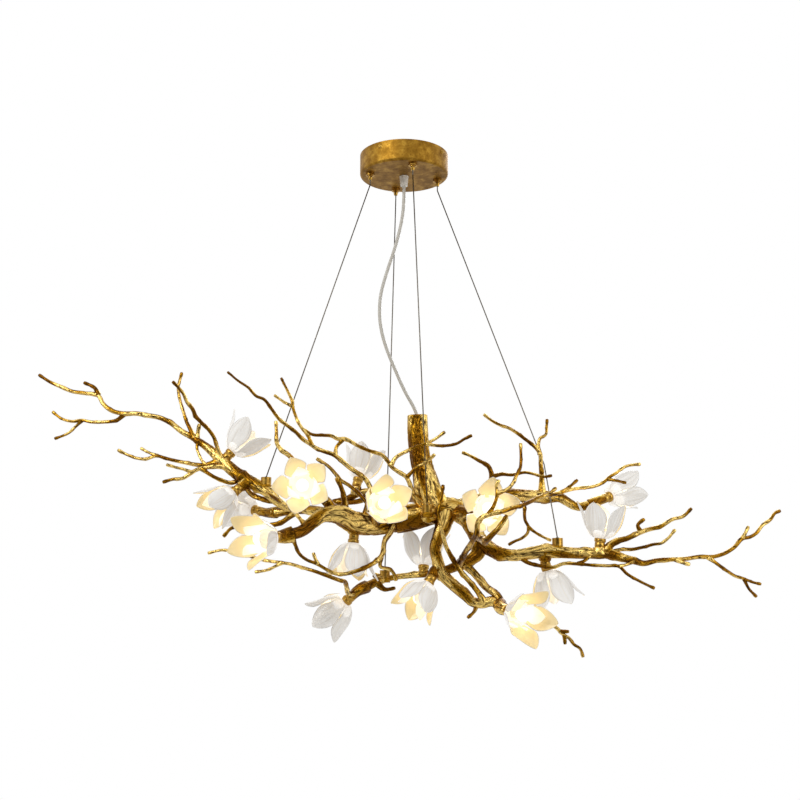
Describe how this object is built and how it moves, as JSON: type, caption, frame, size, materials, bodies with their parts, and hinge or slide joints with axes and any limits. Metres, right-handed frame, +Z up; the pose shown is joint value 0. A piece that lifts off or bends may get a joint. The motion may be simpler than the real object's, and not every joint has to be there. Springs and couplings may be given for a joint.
{
  "type": "branch chandelier",
  "caption": "Hanging light: a round brass canopy, steel wires and a cord carry a frame of cast brass branches with lit porcelain magnolia blossoms.",
  "frame": {"origin": "on the ceiling plane at the middle of the canopy's bracket", "axes": "+Z up into the ceiling, +X along the branch frame's long side, +Y away from the viewer of the picture"},
  "size_m": [1.2388, 0.3328, 0.835],
  "materials": {
    "canopy_brass": "aged, brushed",
    "branch_brass": "cast bark, polished high spots, dark grooves",
    "fitting_brass": "turned",
    "steel": "drawn wire and pressed plate",
    "white_plastic": "moulded",
    "cord_plastic": "pale round cord",
    "holder_ceramic": "unglazed",
    "porcelain": "glazed, lit from inside",
    "lit_glass": "frosted, lit"
  },
  "bodies": {
    "canopy": {"canopy_cover": "canopy_brass", "ceiling_bracket": "steel", "canopy_side_screws": "canopy_brass", "terminal_block": "white_plastic", "cord_gland": "white_plastic", "gripper_bodies": "fitting_brass", "suspension_wire_left": "steel", "suspension_wire_back": "steel", "suspension_wire_front": "steel", "suspension_wire_right": "steel", "power_cord": "cord_plastic"},
    "branch_frame": {"trunk": "branch_brass", "left_limb": "branch_brass", "left_back_limb": "branch_brass", "left_upper_limb": "branch_brass", "back_limb": "branch_brass", "left_twigs": "branch_brass", "right_limb": "branch_brass", "right_upper_limb": "branch_brass", "lower_limb": "branch_brass", "lower_left_limb": "branch_brass", "right_front_twig": "branch_brass", "wire_anchors": "branch_brass", "lamp_holders": "holder_ceramic", "shade_01": "porcelain", "shade_02": "porcelain", "shade_03": "porcelain", "shade_04": "porcelain", "shade_05": "porcelain", "shade_06": "porcelain", "shade_07": "porcelain", "shade_08": "porcelain", "shade_09": "porcelain", "shade_10": "porcelain", "shade_11": "porcelain", "shade_12": "porcelain", "shade_13": "porcelain", "shade_14": "porcelain", "shade_15": "porcelain", "shade_16": "porcelain"},
    "gripper_tip_left": {"gripper_tip_left": "fitting_brass"},
    "gripper_tip_back": {"gripper_tip_back": "fitting_brass"},
    "gripper_tip_front": {"gripper_tip_front": "fitting_brass"},
    "gripper_tip_right": {"gripper_tip_right": "fitting_brass"},
    "bulb_01": {"bulb_01": "lit_glass"},
    "bulb_02": {"bulb_02": "lit_glass"},
    "bulb_03": {"bulb_03": "lit_glass"},
    "bulb_04": {"bulb_04": "lit_glass"},
    "bulb_05": {"bulb_05": "lit_glass"},
    "bulb_06": {"bulb_06": "lit_glass"},
    "bulb_07": {"bulb_07": "lit_glass"},
    "bulb_08": {"bulb_08": "lit_glass"},
    "bulb_09": {"bulb_09": "lit_glass"},
    "bulb_10": {"bulb_10": "lit_glass"},
    "bulb_11": {"bulb_11": "lit_glass"},
    "bulb_12": {"bulb_12": "lit_glass"},
    "bulb_13": {"bulb_13": "lit_glass"},
    "bulb_14": {"bulb_14": "lit_glass"},
    "bulb_15": {"bulb_15": "lit_glass"},
    "bulb_16": {"bulb_16": "lit_glass"}
  },
  "joints": [
    {"name": "frame_height", "type": "slide", "parent": "canopy", "child": "branch_frame", "axis": [0, 0, 1], "range_m": [0, 0.2], "deforming": ["suspension_wire_left", "suspension_wire_back", "suspension_wire_front", "suspension_wire_right", "power_cord"]},
    {"name": "gripper_release_left", "type": "slide", "parent": "canopy", "child": "gripper_tip_left", "axis": [0, 0, 1], "range_m": [0, 0.002], "stiffness_N_per_m": 1500, "springref_m": -0.001},
    {"name": "gripper_release_back", "type": "slide", "parent": "canopy", "child": "gripper_tip_back", "axis": [0, 0, 1], "range_m": [0, 0.002], "stiffness_N_per_m": 1500, "springref_m": -0.001},
    {"name": "gripper_release_front", "type": "slide", "parent": "canopy", "child": "gripper_tip_front", "axis": [0, 0, 1], "range_m": [0, 0.002], "stiffness_N_per_m": 1500, "springref_m": -0.001},
    {"name": "gripper_release_right", "type": "slide", "parent": "canopy", "child": "gripper_tip_right", "axis": [0, 0, 1], "range_m": [0, 0.002], "stiffness_N_per_m": 1500, "springref_m": -0.001},
    {"name": "bulb_pull_01", "type": "slide", "parent": "branch_frame", "child": "bulb_01", "axis": [0.6516, 0.1003, 0.7519], "range_m": [0, 0.02]},
    {"name": "bulb_pull_02", "type": "slide", "parent": "branch_frame", "child": "bulb_02", "axis": [-0.7226, -0.3011, -0.6222], "range_m": [0, 0.02]},
    {"name": "bulb_pull_03", "type": "slide", "parent": "branch_frame", "child": "bulb_03", "axis": [-0.8296, 0.5185, 0.2074], "range_m": [0, 0.02]},
    {"name": "bulb_pull_04", "type": "slide", "parent": "branch_frame", "child": "bulb_04", "axis": [-0.6052, -0.7868, -0.121], "range_m": [0, 0.02]},
    {"name": "bulb_pull_05", "type": "slide", "parent": "branch_frame", "child": "bulb_05", "axis": [0.0503, -0.9969, -0.0604], "range_m": [0, 0.02]},
    {"name": "bulb_pull_06", "type": "slide", "parent": "branch_frame", "child": "bulb_06", "axis": [0.2518, 0.2014, 0.9466], "range_m": [0, 0.02]},
    {"name": "bulb_pull_07", "type": "slide", "parent": "branch_frame", "child": "bulb_07", "axis": [0.303, -0.9495, 0.0808], "range_m": [0, 0.02]},
    {"name": "bulb_pull_08", "type": "slide", "parent": "branch_frame", "child": "bulb_08", "axis": [-0.1004, -0.0502, -0.9937], "range_m": [0, 0.02]},
    {"name": "bulb_pull_09", "type": "slide", "parent": "branch_frame", "child": "bulb_09", "axis": [0.0504, 0.2017, 0.9782], "range_m": [0, 0.02]},
    {"name": "bulb_pull_10", "type": "slide", "parent": "branch_frame", "child": "bulb_10", "axis": [-0.4969, -0.3478, -0.795], "range_m": [0, 0.02]},
    {"name": "bulb_pull_11", "type": "slide", "parent": "branch_frame", "child": "bulb_11", "axis": [-0.7098, 0.3549, -0.6084], "range_m": [0, 0.02]},
    {"name": "bulb_pull_12", "type": "slide", "parent": "branch_frame", "child": "bulb_12", "axis": [0.0202, -0.998, -0.0605], "range_m": [0, 0.02]},
    {"name": "bulb_pull_13", "type": "slide", "parent": "branch_frame", "child": "bulb_13", "axis": [0.101, -0.101, 0.9897], "range_m": [0, 0.02]},
    {"name": "bulb_pull_14", "type": "slide", "parent": "branch_frame", "child": "bulb_14", "axis": [0.8284, 0.466, 0.3107], "range_m": [0, 0.02]},
    {"name": "bulb_pull_15", "type": "slide", "parent": "branch_frame", "child": "bulb_15", "axis": [0.3018, 0.1207, -0.9457], "range_m": [0, 0.02]},
    {"name": "bulb_pull_16", "type": "slide", "parent": "branch_frame", "child": "bulb_16", "axis": [0.5048, -0.848, -0.1615], "range_m": [0, 0.02]}
  ]
}
